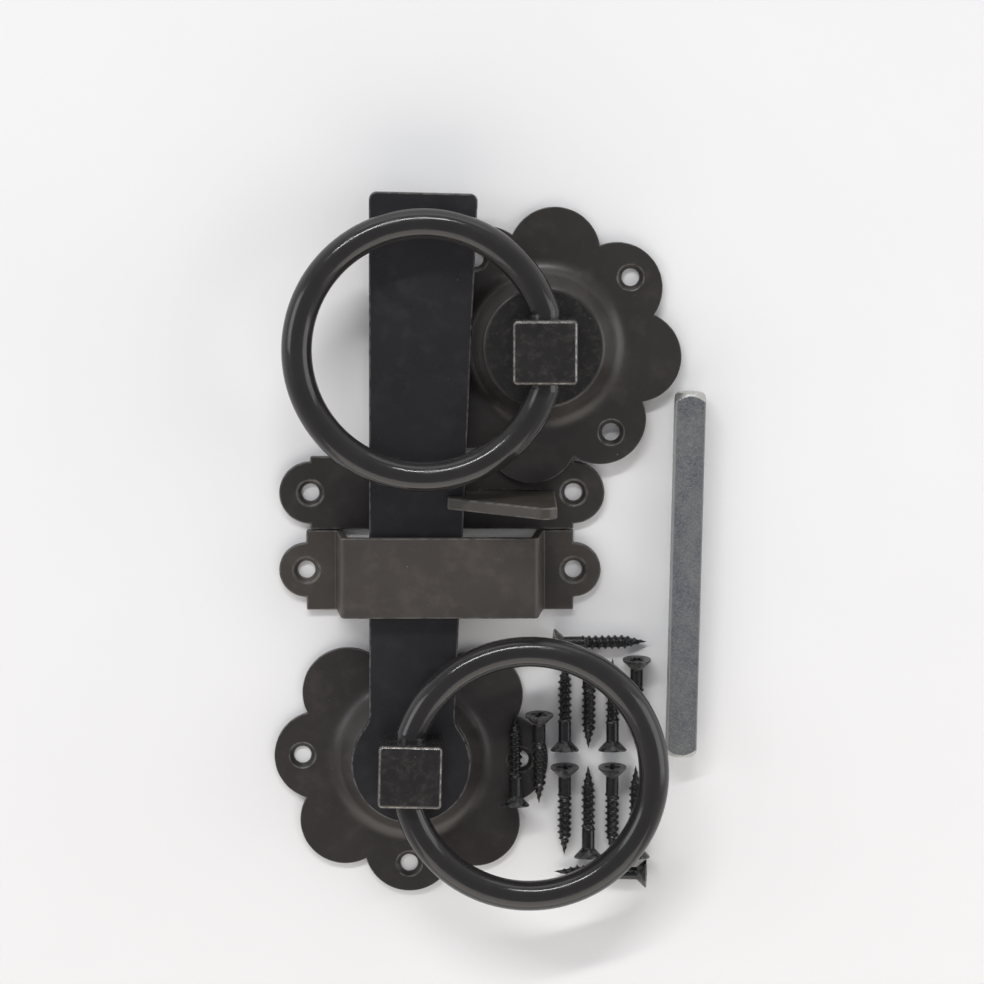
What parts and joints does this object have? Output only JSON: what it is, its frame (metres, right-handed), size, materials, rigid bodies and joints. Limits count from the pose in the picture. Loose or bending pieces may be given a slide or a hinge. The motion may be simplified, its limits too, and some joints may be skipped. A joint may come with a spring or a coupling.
{
  "type": "ring gate latch",
  "caption": "Ring handle gate latch set: lobed roses, swinging rings, tapered latch bar, staple, hooked catch, square spindle and wood screws, laid out flat.",
  "frame": {"origin": "turning axis of the inner handle, in the plane of the inner rose's back", "axes": "+Z out of the plates, towards the handles' fronts; +Y along the latch bar to its tip; +X to the side of the spindle"},
  "size_m": [0.115, 0.1905, 0.033],
  "materials": {
    "black_coat": "satin black coat over steel",
    "black_casting": "semi-gloss black coat over iron castings, bright where the edges are rubbed",
    "zinc_steel": "dull bright zinc plate with drawing marks",
    "black_screw": "black lacquered wood screws"
  },
  "bodies": {
    "plates": {"inner_rose": "black_coat", "outer_rose": "black_coat", "staple": "black_coat", "catch_plate": "black_coat", "catch_hook": "black_coat", "spindle": "zinc_steel", "screws": "black_screw"},
    "inner_handle": {"inner_boss": "black_casting", "inner_washer": "zinc_steel", "latch_bar": "black_coat"},
    "inner_ring": {"inner_ring": "black_casting"},
    "outer_handle": {"outer_boss": "black_casting", "outer_washer": "zinc_steel"},
    "outer_ring": {"outer_ring": "black_casting"}
  },
  "joints": [
    {"name": "inner_handle_turn", "type": "hinge", "parent": "plates", "child": "inner_handle", "pos_m": [0, 0, 0.008], "axis": [0, 0, 1], "range_deg": [0, 4.5]},
    {"name": "inner_ring_swing", "type": "hinge", "parent": "inner_handle", "child": "inner_ring", "pos_m": [0, 0, 0.01905], "axis": [-0.0244, -0.9997, 0], "range_deg": [0, 180]},
    {"name": "outer_handle_turn", "type": "hinge", "parent": "plates", "child": "outer_handle", "pos_m": [0.0352, 0.1114, 0.00125], "axis": [0, 0.0338, 0.9994], "range_deg": [-20, 3]},
    {"name": "outer_ring_swing", "type": "hinge", "parent": "outer_handle", "child": "outer_ring", "pos_m": [0.0352, 0.11204, 0.02028], "axis": [0, 0.9994, -0.0338], "range_deg": [0, 180]}
  ]
}
